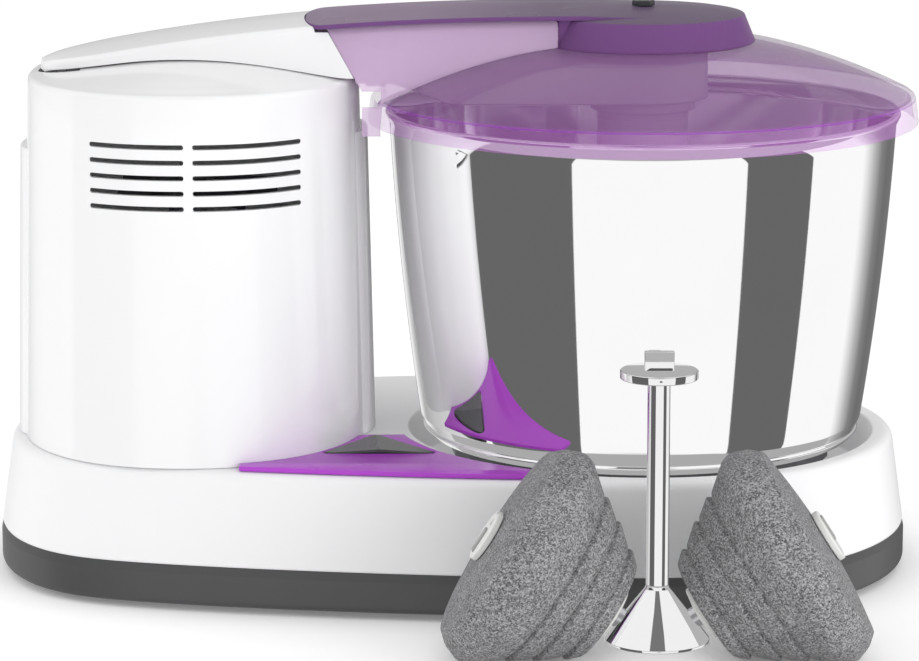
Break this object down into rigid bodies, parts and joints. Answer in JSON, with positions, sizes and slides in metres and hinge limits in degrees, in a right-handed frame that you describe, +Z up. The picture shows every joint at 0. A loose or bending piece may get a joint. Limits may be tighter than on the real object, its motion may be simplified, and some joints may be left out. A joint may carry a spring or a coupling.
{
  "type": "table-top wet grinder",
  "caption": "Table-top wet grinder with a belt-driven steel drum, a motor tower, a hinged clear lid on an arm, and a roller set of tilted stones standing in front.",
  "frame": {"origin": "bottom centre of the box round the machine and the roller set that stands in front of it", "axes": "+X from the motor tower to the drum, +Y to the back, +Z up"},
  "size_m": [0.4716, 0.3952, 0.2913],
  "materials": {
    "white_plastic": "white moulded plastic with a soft gloss",
    "grey_plastic": "dark grey moulded plastic, matte",
    "black_plastic": "black plastic, glossy",
    "purple_plastic": "violet plastic, glossy",
    "purple_grey_plastic": "dark violet-grey plastic, glossy",
    "clear_plastic": "clear violet-tinted plastic",
    "steel": "polished stainless steel",
    "bright_steel": "bright steel",
    "aluminium": "cast aluminium",
    "dark_iron": "dark laminated iron",
    "copper": "wound enamelled wire",
    "granite": "mottled grey grinding stone",
    "nylon": "white nylon",
    "rubber": "black rubber"
  },
  "bodies": {
    "base": {"base_plate": "grey_plastic", "base_housing": "white_plastic", "foot_front_right": "rubber", "foot_rear_right": "rubber", "foot_front_left": "rubber", "foot_rear_left": "rubber", "switch_trim": "purple_plastic", "switch_body": "black_plastic", "cord_gland": "rubber", "motor_tower": "white_plastic", "motor_plate": "bright_steel", "motor_stator": "dark_iron", "winding_lower": "copper", "winding_upper": "copper", "motor_end_lower": "aluminium", "motor_end_upper": "aluminium", "motor_bearing_lower": "bright_steel", "motor_bearing_upper": "bright_steel", "run_capacitor": "white_plastic", "bearing_housing": "aluminium", "spindle_bearing_lower": "bright_steel", "spindle_bearing_upper": "bright_steel", "drive_belt": "rubber", "hinge_bracket": "bright_steel", "hinge_pin": "bright_steel"},
    "drum": {"drum_shell": "steel", "drum_base_stone": "granite", "drum_centre_post": "steel", "turntable": "grey_plastic", "drive_spindle": "bright_steel", "drum_pulley": "aluminium"},
    "motor": {"motor_rotor": "dark_iron", "motor_shaft": "bright_steel", "cooling_fan": "grey_plastic", "motor_pulley": "aluminium"},
    "switch": {"switch_key": "black_plastic"},
    "lid": {"lid_dome": "clear_plastic", "lid_skirt": "clear_plastic", "arm_front_cover": "clear_plastic", "arm_beam": "grey_plastic", "arm_top_cover": "purple_grey_plastic", "arm_rear_cover": "white_plastic", "lid_boss": "grey_plastic", "cap_bolt": "black_plastic"},
    "roller_set": {"roller_shaft": "steel", "roller_cone": "steel", "axle_left": "bright_steel", "axle_right": "bright_steel"},
    "left_stone": {"stone_left": "granite", "bush_left": "nylon", "stone_cap_left": "nylon"},
    "right_stone": {"stone_right": "granite", "bush_right": "nylon", "stone_cap_right": "nylon"}
  },
  "joints": [
    {"name": "drum_spin", "type": "hinge", "parent": "base", "child": "drum", "pos_m": [0.09528, 0.0571, 0.022], "axis": [0, 0, 1], "continuous": true},
    {"name": "motor_spin", "type": "hinge", "parent": "base", "child": "motor", "pos_m": [-0.13372, 0.0571, 0.022], "axis": [0, 0, 1], "continuous": true},
    {"name": "lid_hinge", "type": "hinge", "parent": "base", "child": "lid", "pos_m": [-0.19872, 0.0571, 0.258], "axis": [0, -1, 0], "range_deg": [0, 70]},
    {"name": "switch_press", "type": "slide", "parent": "base", "child": "switch", "axis": [0, 0, -1], "range_m": [0, 0.0025], "stiffness_N_per_m": 300, "springref_m": -0.002},
    {"name": "roller_lift", "type": "slide", "parent": "base", "child": "roller_set", "axis": [0, 0, 1], "range_m": [0, 0.16]},
    {"name": "stone_left_spin", "type": "hinge", "parent": "roller_set", "child": "left_stone", "pos_m": [0.07828, -0.1399, 0.02019], "axis": [-0.8434, 0, 0.5373], "continuous": true},
    {"name": "stone_right_spin", "type": "hinge", "parent": "roller_set", "child": "right_stone", "pos_m": [0.11228, -0.1399, 0.02019], "axis": [0.8434, 0, 0.5373], "continuous": true}
  ],
  "couplings": [
    {"joint": "motor_spin", "follows": "drum_spin", "ratio": 8}
  ]
}
